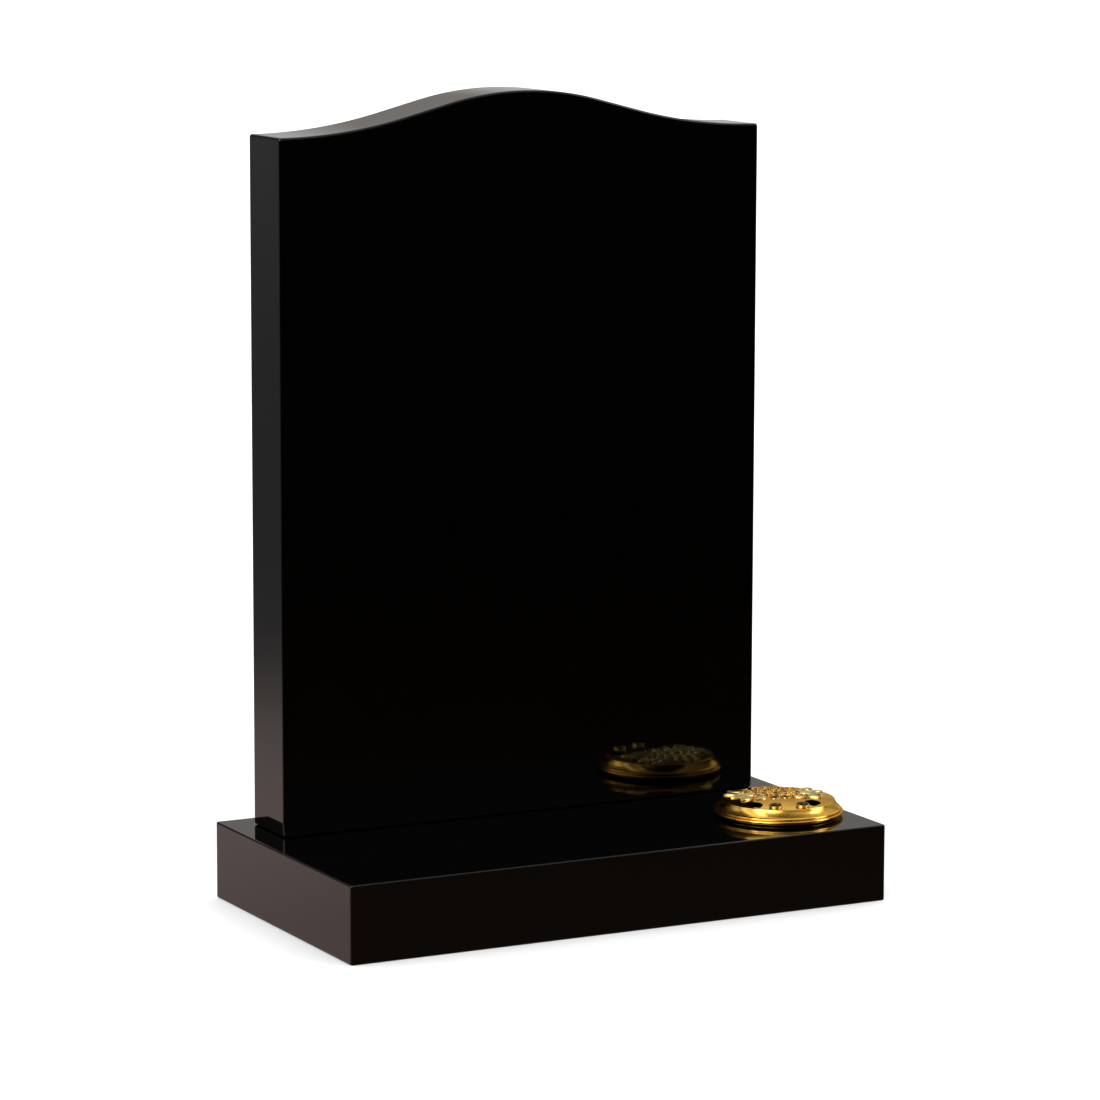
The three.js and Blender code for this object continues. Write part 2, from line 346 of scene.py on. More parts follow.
@dataclass(frozen=True)
class Lathe:
    """Turns a profile about an upright axis, ring by ring.

    Attributes:
        centre: Where the axis meets the profile's zero height, in millimetres.
        steps: How many sides a ring has.
    """

    centre: Point = (0.0, 0.0, 0.0)
    steps: int = 48

    def turn(self, name: str, rings: Sequence[Ring], poles: bool = True) -> Piece:
        """Draws a ring out and resizes it once for each point of the profile.

        Args:
            name: The piece's name.
            rings: Radius and height of each ring, in millimetres, in the profile's order.
            poles: True closes both ends on the axis, False joins the last ring to the first.

        Returns:
            The turned piece, closed and facing outwards.
        """
        x, y, foot = (length * MM for length in self.centre)
        radius, height = rings[0]
        Bench.clear()
        bpy.ops.mesh.primitive_circle_add(
            vertices=self.steps,
            radius=radius * MM,
            fill_type="TRIFAN" if poles else "NOTHING",
            location=(x, y, foot + height * MM),
        )
        piece = Bench.start(name)
        axis = Vector((x, y))
        reach = radius * MM / 2
        with Bench.shaping(piece):
            Bench.pick(piece, Hold.VERTS, lambda vert: (vert.co.xy - axis).length > reach)
            for next_radius, next_height in rings[1:]:
                rise = (next_height - height) * MM
                share = next_radius / radius
                bpy.ops.mesh.extrude_edges_move(TRANSFORM_OT_translate={"value": (0, 0, rise)})
                centre = (x, y, foot + next_height * MM)
                bpy.ops.transform.resize(value=(share, share, 1), center_override=centre)
                radius, height = next_radius, next_height
            if poles:
                bpy.ops.mesh.extrude_edges_move(TRANSFORM_OT_translate={"value": (0, 0, 0)})
                bpy.ops.mesh.merge(type="CENTER")
            else:
                Bench.pick(piece, Hold.EDGES, lambda edge: edge.is_boundary)
                bpy.ops.mesh.bridge_edge_loops()
        Bench.outward(piece)
        return piece


def bow(centre: Ring, radius: float, start: float, end: float, steps: int) -> list[Ring]:
    """Points along a circular arc of a turned profile.

    Args:
        centre: Radius and height of the arc's centre.
        radius: The arc's own radius.
        start: Its first angle in degrees, 0 outwards and 90 upwards.
        end: Its last angle.
        steps: How many parts the arc is cut into.

    Returns:
        The points, both ends included.
    """
    angles = [math.radians(start + (end - start) * step / steps) for step in range(steps + 1)]
    return [(centre[0] + radius * math.cos(angle), centre[1] + radius * math.sin(angle)) for angle in angles]


def from_axis(face: bmesh.types.BMFace, axis: Vector) -> float:
    """How far a face's middle is from an upright axis.

    Args:
        face: The face.
        axis: Where the axis is, seen from above, in metres.

    Returns:
        The distance in metres.
    """
    return (face.calc_center_median().xy - axis).length


class Desk:
    """Lays nodes in one tree and links them."""

    def __init__(self, tree: bpy.types.NodeTree) -> None:
        """Takes the tree that the nodes go in.

        Args:
            tree: A material's, world's or group's node tree.
        """
        self.tree = tree

    def put(self, kind: str, feeds: Feeds | None = None, **settings: object) -> bpy.types.Node:
        """Adds a node and feeds it.

        Args:
            kind: The node's type.
            feeds: What its inputs get, by name or number.
            **settings: Its properties and their values.

        Returns:
            The new node.
        """
        node = self.tree.nodes.new(kind)
        for name, value in settings.items():
            setattr(node, name, value)
        for name, value in (feeds or {}).items():
            self.feed(node.inputs[name], value)
        return node

    def feed(self, socket: Socket, value: object) -> None:
        """Links a socket to another one, or sets its value.

        Args:
            socket: The input socket.
            value: An output socket, a number or a tuple.
        """
        if isinstance(value, Socket):
            self.tree.links.new(value, socket)
        elif socket.type == "RGBA" and len(value) == 3:
            socket.default_value = (*value, 1)
        else:
            socket.default_value = value

    def sum(self, operation: str, first: object, second: object = 0.0, clamp: bool = False) -> Socket:
        """Works out one number from two.

        Args:
            operation: The Math node's operation.
            first: A number or an output socket.
            second: A number or an output socket.
            clamp: Whether the answer is kept between 0 and 1.

        Returns:
            The answer's socket.
        """
        feeds = {0: first, 1: second}
        return self.put("ShaderNodeMath", feeds, operation=operation, use_clamp=clamp).outputs[0]

    def add(self, first: object, second: object, share: float) -> Socket:
        """Adds a share of one number to another.

        Args:
            first: The number that is added to.
            second: The number that a share is taken of.
            share: How much of it.

        Returns:
            The answer's socket.
        """
        return self.sum("ADD", first, self.sum("MULTIPLY", second, share))

    def colours(self, operation: str, first: object, second: object) -> Socket:
        """Works out one colour from two, channel by channel.

        Args:
            operation: The Vector Math node's operation.
            first: A colour or a socket.
            second: A colour or a socket.

        Returns:
            The colour's socket.
        """
        return self.put("ShaderNodeVectorMath", {0: first, 1: second}, operation=operation).outputs[0]

    def span(
        self,
        value: object,
        low: object,
        high: object,
        new_low: float = 0.0,
        new_high: float = 1.0,
        kind: str = "SMOOTHSTEP",
    ) -> Socket:
        """Maps a number from one range onto another and stops at its ends.

        Args:
            value: The output socket that is mapped.
            low: The value that becomes new_low.
            high: The value that becomes new_high.
            new_low: The first end of the new range.
            new_high: The last end of the new range.
            kind: How it runs between the ends.

        Returns:
            The mapped value's socket.
        """
        feeds = dict(enumerate((value, low, high, new_low, new_high)))
        return self.put("ShaderNodeMapRange", feeds, interpolation_type=kind).outputs[0]

    def window(self, value: object, rise: Pair, fall: Pair) -> Socket:
        """A mask that rises from 0 to 1 in one range and falls again in another.

        Args:
            value: The output socket that is looked at.
            rise: Where the mask is 0 and where it is 1.
            fall: Where it is 0 again and where it is still 1.

        Returns:
            The mask's socket.
        """
        return self.sum("MULTIPLY", self.span(value, *rise), self.span(value, *fall))

    def blend(self, share: object, first: object, second: object) -> Socket:
        """Mixes two colours.

        Args:
            share: How much of the second colour, from 0 to 1.
            first: A colour or a socket.
            second: A colour or a socket.

        Returns:
            The mixed colour's socket.
        """
        feeds = {"Factor": share, 6: first, 7: second}
        return self.put("ShaderNodeMix", feeds, data_type="RGBA").outputs[2]

    def noise(self, where: object, size: float, detail: float = 3.0) -> Socket:
        """A soft random value between 0 and 1.

        Args:
            where: The coordinate's socket.
            size: How far apart the lumps are, in millimetres.
            detail: How many finer layers it has.

        Returns:
            The value's socket.
        """
        feeds = {"Vector": where, "Scale": 1 / (size * MM), "Detail": detail}
        return self.put("ShaderNodeTexNoise", feeds).outputs[0]

    def ramp(self, value: object, stops: Sequence[Stop]) -> Socket:
        """Turns a value into a colour by way of stops.

        Args:
            value: The value's socket.
            stops: Place of each stop, in order, and its colour or one number for a grey.

        Returns:
            The colour's socket.
        """
        node = self.put("ShaderNodeValToRGB", {0: value})
        elements = node.color_ramp.elements
        elements[0].position = stops[0][0]
        elements[1].position = stops[-1][0]
        for place, _ in stops[1:-1]:
            elements.new(place)
        for element, (_, tone) in zip(elements, stops):
            colour = (tone, tone, tone) if isinstance(tone, float) else tone
            element.color = (*colour, 1)
        return node.outputs[0]


class Effects:
    """Shader groups that more than one finish uses, each built once."""

    def __init__(self) -> None:
        """Builds the groups."""
        self.grain = self._grain()
        self.haze = self._haze()

    @staticmethod
    def _group(name: str, inputs: dict[str, object], outputs: dict[str, str]) -> Desk:
        """Opens an empty group with named sockets.

        Args:
            name: The group's name.
            inputs: First value of each input; None makes it a coordinate.
            outputs: Socket type of each output.

        Returns:
            A desk for the group's tree.
        """
        tree = bpy.data.node_groups.new(name, "ShaderNodeTree")
        for label, value in inputs.items():
            kind = "Vector" if value is None else "Float" if isinstance(value, float) else "Color"
            socket = tree.interface.new_socket(name=label, in_out="INPUT", socket_type=f"NodeSocket{kind}")
            if value is not None:
                socket.default_value = value
        for label, kind in outputs.items():
            tree.interface.new_socket(name=label, in_out="OUTPUT", socket_type=f"NodeSocket{kind}")
        return Desk(tree)

    def _grain(self) -> bpy.types.NodeTree:
        """Crystals of a fine black granite, with a few bright flecks among them.

        Returns:
            The group's tree.
        """
        desk = self._group(
            "granite_grain",
            {
                "Coordinates": None,
                "Crystals per Metre": 700.0,
                "Ground": (0.001, 0.001, 0.001, 1),
                "Crystal": (0.003, 0.003, 0.003, 1),
                "Fleck": (0.02, 0.018, 0.015, 1),
                "Fleck Share": 0.03,
            },
            {"Color": "Color", "Glint": "Float", "Relief": "Float"},
        )
        source = desk.put("NodeGroupInput").outputs
        feeds = {"Vector": source["Coordinates"], "Scale": source["Crystals per Metre"]}
        crystals = desk.put("ShaderNodeTexVoronoi", feeds, feature="F1").outputs
        parts = desk.put("ShaderNodeSeparateColor", {0: crystals["Color"]}).outputs
        cloud = desk.span(desk.noise(source["Coordinates"], 38, 4), 0.3, 0.7, 0.35, 1.0)
        bright = desk.sum("MULTIPLY", desk.sum("POWER", parts[0], 2.5), cloud)
        body = desk.blend(bright, source["Ground"], source["Crystal"])
        rare = desk.sum("GREATER_THAN", parts[1], desk.sum("SUBTRACT", 1.0, source["Fleck Share"]))
        fleck = desk.sum("MULTIPLY", rare, desk.span(crystals["Distance"], 0.42, 0.2))
        colour = desk.blend(fleck, body, source["Fleck"])
        glint = desk.sum("ADD", desk.sum("MULTIPLY", bright, 0.5), fleck, clamp=True)
        desk.put("NodeGroupOutput", {"Color": colour, "Glint": glint, "Relief": parts[2]})
        return desk.tree

    def _haze(self) -> bpy.types.NodeTree:
        """Handling haze and fine cleaning scratches on a polished surface.

        Returns:
            The group's tree.
        """
        desk = self._group(
            "polish_haze",
            {"Coordinates": None, "Smudges per Metre": 12.0, "Scratches per Metre": 500.0},
            {"Haze": "Float", "Scratch": "Float"},
        )
        source = desk.put("NodeGroupInput").outputs
        where = source["Coordinates"]
        feeds = {"Vector": where, "Scale": source["Smudges per Metre"], "Detail": 5, "Distortion": 0.6}
        smudge = desk.put("ShaderNodeTexNoise", feeds).outputs[0]
        feeds = {"Vector": where, "Rotation": (0.4, 0.7, 0.3), "Scale": (0.02, 1, 1)}
        stretched = desk.put("ShaderNodeMapping", feeds).outputs[0]
        feeds = {"Vector": stretched, "Scale": source["Scratches per Metre"], "Detail": 1}
        hair = desk.put("ShaderNodeTexNoise", feeds).outputs[0]
        shown = {"Haze": desk.span(smudge, 0.42, 0.72), "Scratch": desk.span(hair, 0.68, 0.8)}
        desk.put("NodeGroupOutput", shown)
        return desk.tree


class Surface:
    """An open material: its desk, its shader and its coordinates."""

    def __init__(self, name: str) -> None:
        """Starts a material with a Principled shader.

        Args:
            name: The material's name.
        """
        self.material = bpy.data.materials.new(name)
        self.material.use_nodes = True
        self.desk = Desk(self.material.node_tree)
        self.desk.tree.nodes.clear()
        self.shader = self.desk.put("ShaderNodeBsdfPrincipled")
        self.desk.put("ShaderNodeOutputMaterial", {0: self.shader.outputs[0]})
        self.place = self.desk.put("ShaderNodeTexCoord").outputs["Object"]

    def set(self, **values: object) -> None:
        """Feeds the shader's sockets.

        Args:
            **values: Socket names with underscores for spaces, and what each gets.
        """
        for name, value in values.items():
            self.desk.feed(self.shader.inputs[name.replace("_", " ")], value)

    def group(self, tree: bpy.types.NodeTree, **values: object) -> bpy.types.NodeOutputs:
        """Places a shader group with its own values.

        Args:
            tree: The group's tree.
            **values: Input names with underscores for spaces, and what each gets.

        Returns:
            The group's outputs.
        """
        feeds = {name.replace("_", " "): value for name, value in values.items()}
        return self.desk.put("ShaderNodeGroup", {"Coordinates": self.place, **feeds}, node_tree=tree).outputs

    def bump(self, height: object, depth: float, strength: float) -> None:
        """Feeds the shader's normal with a relief.

        Args:
            height: The relief's socket, 0 to 1.
            depth: How deep the whole range is, in millimetres.
            strength: How much of it shows.
        """
        feeds = {"Strength": strength, "Distance": depth * MM, "Height": height}
        self.set(Normal=self.desk.put("ShaderNodeBump", feeds).outputs[0])


@dataclass(frozen=True)
class PolishedGranite:
    """Mirror-polished black granite.

    Attributes:
        name: The material's name.
        roughness: How blurred a clean patch is.
        hazed: How blurred a handled patch is.
        crystals: Crystals per metre.
        relief: Depth of the unevenness between crystals, in millimetres.
    """

    name: str
    roughness: float = 0.035
    hazed: float = 0.06
    crystals: float = 620.0
    relief: float = 0.0004

    def make(self, effects: Effects) -> bpy.types.Material:
        """Builds the material.

        Args:
            effects: The shared shader groups.

        Returns:
            The material.
        """
        surface = Surface(self.name)
        desk = surface.desk
        grain = surface.group(
            effects.grain,
            Crystals_per_Metre=self.crystals,
            Ground=(0.00012, 0.0001, 0.0001),
            Crystal=(0.0006, 0.00055, 0.0005),
            Fleck=(0.004, 0.0036, 0.003),
        )
        haze = surface.group(effects.haze, Smudges_per_Metre=9.0, Scratches_per_Metre=420.0)
        gloss = desk.span(haze["Haze"], 0, 1, self.roughness, self.hazed)
        gloss = desk.add(gloss, grain["Glint"], 0.02)
        gloss = desk.add(gloss, haze["Scratch"], 0.015)
        surface.set(Base_Color=grain["Color"], Roughness=gloss, IOR=1.5)
        surface.bump(grain["Relief"], self.relief, 0.5)
        return surface.material


@dataclass(frozen=True)
class SawnGranite:
    """Sawn or drilled granite, where no polish is needed.

    Attributes:
        name: The material's name.
        roughness: How matte it is.
        crystals: Crystals per metre.
        relief: Depth of the saw's marks, in millimetres.
    """

    name: str
    roughness: float = 0.62
    crystals: float = 620.0
    relief: float = 0.12

    def make(self, effects: Effects) -> bpy.types.Material:
        """Builds the material.

        Args:
            effects: The shared shader groups.

        Returns:
            The material.
        """
        surface = Surface(self.name)
        desk = surface.desk
        grain = surface.group(
            effects.grain,
            Crystals_per_Metre=self.crystals,
            Ground=(0.021, 0.020, 0.0195),
            Crystal=(0.05, 0.048, 0.046),
            Fleck=(0.16, 0.15, 0.14),
            Fleck_Share=0.06,
        )
        feeds = {"Vector": surface.place, "Location": (0.9, 0.4, 0)}
        feeds = {"Vector": desk.put("ShaderNodeMapping", feeds).outputs[0], "Scale": 60, "Distortion": 1.5}
        saw = desk.put("ShaderNodeTexWave", feeds, wave_type="RINGS", rings_direction="Z").outputs["Fac"]
        fine = desk.noise(surface.place, 0.9, 4)
        gloss = desk.span(fine, 0.2, 0.8, self.roughness - 0.12, self.roughness + 0.12)
        surface.set(Base_Color=grain["Color"], Roughness=gloss, IOR=1.5)
        surface.bump(desk.add(desk.sum("MULTIPLY", saw, 0.35), fine, 0.65), self.relief, 0.7)
        return surface.material


@dataclass(frozen=True)
class GiltMetal:
    """Cast and lacquered gilt, polished or brushed on the lathe.

    Attributes:
        name: The material's name.
        bright: Colour of the clean metal.
        deep: Colour where the gilding is thicker and warmer.
        roughness: How blurred it is.
        spread: Roughness added where it is worn.
        brushed: How far the highlights are drawn across the turning marks.
        marks: Depth of the turning marks, in millimetres.
        cast: Depth of the casting's unevenness, in millimetres, where there are no marks.
    """

    name: str
    bright: Colour = (0.94, 0.58, 0.11)
    deep: Colour = (0.87, 0.48, 0.08)
    roughness: float = 0.07
    spread: float = 0.06
    brushed: float = 0.0
    marks: float = 0.0
    cast: float = 0.02

    def make(self, effects: Effects, centre: Point) -> bpy.types.Material:
        """Builds the material.

        Args:
            effects: The shared shader groups.
            centre: The lid's axis, which the turning marks run round, in millimetres.

        Returns:
            The material.
        """
        surface = Surface(self.name)
        desk = surface.desk
        haze = surface.group(effects.haze, Smudges_per_Metre=45.0, Scratches_per_Metre=1500.0)
        tone = desk.noise(surface.place, 14, 3)
        colour = desk.blend(desk.span(tone, 0.35, 0.65), self.bright, self.deep)
        colour = desk.blend(desk.sum("MULTIPLY", haze["Haze"], 0.25), colour, self.deep)
        gloss = desk.span(haze["Haze"], 0, 1, self.roughness, self.roughness + self.spread)
        if self.marks > 0:
            tangent = desk.put("ShaderNodeTangent", direction_type="RADIAL", axis="Z").outputs[0]
            surface.set(Anisotropic=self.brushed, Anisotropic_Rotation=0.25, Tangent=tangent)
            surface.bump(self._turning(surface, centre), self.marks, 0.6)
        else:
            gloss = desk.add(gloss, haze["Scratch"], 0.04)
            surface.bump(desk.noise(surface.place, 3.2, 2), self.cast, 0.6)
        surface.set(Base_Color=colour, Metallic=1.0, Roughness=gloss, Specular_Tint=(1.0, 0.84, 0.52))
        return surface.material

    @staticmethod
    def _turning(surface: Surface, centre: Point) -> Socket:
        """Fine rings that the brushing leaves round the axis.

        Args:
            surface: The open material.
            centre: The axis, in millimetres.

        Returns:
            The marks' height, 0 to 1.
        """
        desk = surface.desk
        shift = tuple(-length * MM for length in centre)
        centred = desk.put("ShaderNodeMapping", {"Vector": surface.place, "Location": shift}).outputs[0]
        parts = desk.put("ShaderNodeSeparateXYZ", {0: centred}).outputs
        across, along = (desk.sum("MULTIPLY", part, part) for part in parts[:2])
        radius = desk.sum("SQRT", desk.sum("ADD", across, along))
        rings = desk.put("ShaderNodeCombineXYZ", {0: radius, 2: parts[2]}).outputs[0]
        return desk.noise(rings, 0.35, 2)


@dataclass(frozen=True)
class SpunMetal:
    """The pot's spun metal, darker towards the bottom below a set height.

    Attributes:
        name: The material's name.
        clean: Colour of the metal above that height.
        darker_tone: Colour below it, where the metal turns darker towards the bottom.
        dark_below: Height of the darker part's upper edge, in millimetres.
    """

    name: str
    clean: Colour = (0.36, 0.20, 0.075)
    darker_tone: Colour = (0.10, 0.05, 0.025)
    dark_below: float = 66.0

    def make(self, effects: Effects) -> bpy.types.Material:
        """Builds the material.

        Args:
            effects: The shared shader groups.

        Returns:
            The material.
        """
        surface = Surface(self.name)
        desk = surface.desk
        haze = surface.group(effects.haze, Smudges_per_Metre=40.0, Scratches_per_Metre=900.0)
        height = desk.put("ShaderNodeSeparateXYZ", {0: surface.place}).outputs[2]
        # Darker towards the bottom below a ragged height, and a little darker with the smudges.
        level = desk.add(height, desk.noise(surface.place, 20, 3), 8 * MM)
        lower_share = desk.span(level, (self.dark_below + 7) * MM, (self.dark_below - 4) * MM)
        darkening = desk.add(desk.sum("MULTIPLY", lower_share, 0.75), haze["Haze"], 0.25)
        colour = desk.blend(darkening, self.clean, self.darker_tone)
        surface.set(Base_Color=colour, Metallic=1.0, Roughness=desk.span(darkening, 0, 1, 0.26, 0.6))
        surface.bump(desk.noise(surface.place, 1.1, 3), 0.03, 0.5)
        return surface.material


@dataclass(frozen=True)
class Headstone:
    """The upright slab with its ogee top, eased edges and polished faces.

    Attributes:
        width: Across the front.
        thickness: Front to back.
        foot: Height of its underside.
        shoulder: Underside to shoulder.
        rise: Shoulder to crown.
        crown_half: Half the width of the crown's arc.
        slope_run: Length of the straight between crown and hollow.
        middle_y: Middle of its thickness.
        corner: Radius at shoulders and feet.
        arris: Radius of the eased edges.
        columns: How many strips the outline is drawn with.
    """

    width: float = 550.0
    thickness: float = 74.0
    foot: float = 80.3
    shoulder: float = 710.0
    rise: float = 41.0
    crown_half: float = 85.5
    slope_run: float = 48.0
    middle_y: float = 97.0
    corner: float = 3.0
    arris: float = 2.5
    columns: int = 132

    def top_rise(self, x: float) -> float:
        """Height of the ogee above the shoulder.

        Args:
            x: Place across the front, 0 in the middle.

        Returns:
            The rise in millimetres.
        """
        run = self.width / 2 - self.corner
        half_slope = 0.1
        for _ in range(60):
            half_slope = self.rise / (run - self.slope_run + 2 * self.slope_run / (1 - half_slope**2))
        angle = 2 * math.atan(half_slope)
        crown = self.crown_half / math.sin(angle)
        hollow = (run - self.crown_half - self.slope_run) / math.sin(angle)
        far = abs(x)
        if far <= self.crown_half:
            return self.rise - (crown - math.sqrt(crown**2 - far**2))
        if far <= self.crown_half + self.slope_run:
            return self.rise - self.crown_half * half_slope - (far - self.crown_half) * math.tan(angle)
        if far < run:
            return hollow - math.sqrt(hollow**2 - (run - far) ** 2)
        return 0.0

    def build(self) -> Piece:
        """Models the slab: a flat of many columns, drawn up to the ogee, then given its thickness.

        Returns:
            The slab, closed and smooth shaded.
        """
        front = self.middle_y - self.thickness / 2
        Bench.clear()
        bpy.ops.mesh.primitive_grid_add(
            x_subdivisions=self.columns,
            y_subdivisions=1,
            size=1,
            location=(0, front * MM, (self.foot + self.shoulder / 2) * MM),
            rotation=(math.radians(90), 0, 0),
        )
        bpy.context.object.scale = (self.width * MM, self.shoulder * MM, 1)
        slab = Bench.start("headstone_slab")
        top = (self.foot + self.shoulder) * MM
        with Bench.shaping(slab):
            for column in range(1, self.columns):
                x = self.width * (column / self.columns - 0.5)
                Bench.pick(
                    slab,
                    Hold.VERTS,
                    lambda vert: vert.co.z > top - MM and abs(vert.co.x - x * MM) < MM,
                )
                bpy.ops.transform.translate(value=(0, 0, self.top_rise(x) * MM))
            bpy.ops.mesh.select_all(action="SELECT")
            bpy.ops.mesh.extrude_region_move(TRANSFORM_OT_translate={"value": (0, self.thickness * MM, 0)})
        Bench.outward(slab)
        Bench.round_corners(slab, 1, self.width / 2, self.corner)
        Bench.ease(slab, self.arris)
        Bench.smooth(slab, 180, 100)
        return slab

    def dress(self, slab: Piece, effects: Effects) -> None:
        """Polishes the slab and leaves its underside sawn.

        Args:
            slab: The finished slab.
            effects: The shared shader groups.
        """
        Bench.dress(slab, PolishedGranite("granite_polished_headstone").make(effects))
        sawn = SawnGranite("granite_sawn_headstone").make(effects)
        Bench.dress(slab, sawn, lambda face: face.normal.z < -0.95)
        Bench.hand_over(slab, "headstone", Slot.HEADSTONE)


@dataclass(frozen=True)
class Plinth:
    """The flat block that the slab stands on, with the bore for the flower pot.

    Attributes:
        length: Across the front.
        depth: Front to back.
        height: Underside to top.
        corner: Radius of the upright corners.
        arris: Radius of the eased edges.
        bore_at: Where the bore's axis is.
        bore_radius: The bore's radius.
        bore_depth: How deep it is drilled.
    """

    length: float = 610.0
    depth: float = 328.0
    height: float = 80.0
    corner: float = 3.0
    arris: float = 1.8
    bore_at: Ring = (232.0, -68.5)
    bore_radius: float = 57.0
    bore_depth: float = 62.5

    def build(self) -> Piece:
        """Models the block, rounds its corners, eases its edges and drills it.

        Returns:
            The block, closed and smooth shaded.
        """
        Bench.clear()
        bpy.ops.mesh.primitive_cube_add(size=1, location=(0, 0, self.height / 2 * MM))
        bpy.context.object.scale = (self.length * MM, self.depth * MM, self.height * MM)
        block = Bench.start("plinth_block")
        Bench.round_corners(block, 2, self.length / 2, self.corner)
        Bench.ease(block, self.arris)
        radius, floor, above = self.bore_radius, -self.bore_depth, 8
        rings = [(radius * 0.4, floor), (radius - 2, floor), (radius - 0.6, floor + 0.6)]
        rings += [(radius, floor + 2), (radius, above), (radius * 0.4, above)]
        Bench.cut(block, Lathe((*self.bore_at, self.height), 128).turn("drill", rings))
        Bench.smooth(block, 35, 100)
        return block

    def dress(self, block: Piece, effects: Effects) -> None:
        """Polishes the block and leaves its underside and its bore sawn and drilled.

        Args:
            block: The finished block.
            effects: The shared shader groups.
        """
        axis = Vector(self.bore_at) * MM
        floor = (self.height - 0.2) * MM
        wall = (self.bore_radius + 0.2) * MM
        Bench.dress(block, PolishedGranite("granite_polished_plinth").make(effects))
        Bench.dress(
            block,
            SawnGranite("granite_sawn_plinth").make(effects),
            lambda face: face.normal.z < -0.95
            or (face.calc_center_median().z < floor and from_axis(face, axis) < wall),
        )
        Bench.hand_over(block, "plinth", Slot.PLINTH)


@dataclass(frozen=True)
class FlowerPot:
    """The spun metal pot that drops into the bore and hangs on its flange.

    Attributes:
        at: Where its axis meets the plinth's top.
        mouth: Inner radius at the mouth.
        foot: Inner radius at the floor.
        wall: Thickness of the wall.
        depth: Depth of the inside.
        collar: Height of the collar above the flange.
        flange: Radius of the flange.
        flange_low: Underside of the flange.
        flange_high: Top of the flange.
    """

    at: Point = (232.0, -68.5, 80.0)
    mouth: float = 54.0
    foot: float = 47.0
    wall: float = 1.5
    depth: float = 58.0
    collar: float = 5.0
    flange: float = 62.0
    flange_low: float = 0.3
    flange_high: float = 3.0

    def build(self) -> Piece:
        """Turns the pot from under its foot, round the flange and the lip, to the middle of its floor.

        Returns:
            The pot, closed and smooth shaded.
        """
        lip = self.flange_high + self.collar
        outer = self.mouth + self.wall
        base = -self.depth - self.wall
        rings = [(12.0, base), (self.foot - 4, base)]
        rings += bow((self.foot + self.wall - 2.2, base + 2.2), 2.2, -90, 0, 5)
        rings += [(outer - 0.1, -0.8), (outer, self.flange_low)]
        rings += bow((self.flange - 1.35, (self.flange_low + self.flange_high) / 2), 1.35, -90, 90, 8)
        rings += bow((outer + 0.9, self.flange_high + 0.9), 0.9, -90, -180, 3)
        rings += bow(((outer + self.mouth) / 2, lip - self.wall / 2), self.wall / 2, 0, 180, 6)
        rings += [(self.mouth, 1.0), (self.foot + 0.4, -self.depth + 3.2)]
        rings += bow((self.foot - 2.6, -self.depth + 3), 3, 0, -90, 5)
        rings += [(24.0, -self.depth), (12.0, -self.depth)]
        pot = Lathe(self.at, 128).turn("flower_pot_spun", rings)
        Bench.smooth(pot, 40)
        return pot

    def dress(self, pot: Piece, effects: Effects) -> None:
        """Gives the pot its spun metal.

        Args:
            pot: The finished pot.
            effects: The shared shader groups.
        """
        Bench.dress(pot, SpunMetal("metal_spun_pot").make(effects))
        Bench.hand_over(pot, "flower_pot", Slot.POT)


@dataclass(frozen=True)
class StemHole:
    """A round hole for a stem, with a cast collar.

    Attributes:
        x: Across, from the lid's axis.
        y: Front to back, from the lid's axis.
        radius: The hole's radius.
        flare: How much wider its collar's mouth is.
        rise: How high the collar stands above the dome.
    """

    x: float
    y: float
    radius: float
    flare: float
    rise: float


@dataclass(frozen=True)
class Leaf:
    """Where a cast leaf lies on the right half of the lid; its twin lies on the left.

    Attributes:
        x: Middle of the leaf, across from the lid's axis.
        y: Middle of the leaf, front to back.
        turn: Which way it points, in degrees.
        length: Against the model's length.
        lift: How far it is raised, in millimetres.
        tilt: Leaned outwards, in degrees.
    """

    x: float
    y: float
    turn: float
    length: float
    lift: float
    tilt: float


LEAVES = (
    Leaf(36.0, -7.0, -48.0, 0.96, 0.2, 4.0),
    Leaf(41.0, 7.5, -16.0, 0.82, 0.1, 4.0),
    Leaf(44.0, 20.0, 12.0, 0.86, 0.2, 4.0),
    Leaf(38.0, 32.0, 38.0, 0.9, 0.3, 4.0),
    Leaf(20.5, -9.5, -34.0, 0.78, 0.1, 3.0),
    Leaf(31.5, 5.0, -34.0, 1.05, 0.9, 3.0),
)


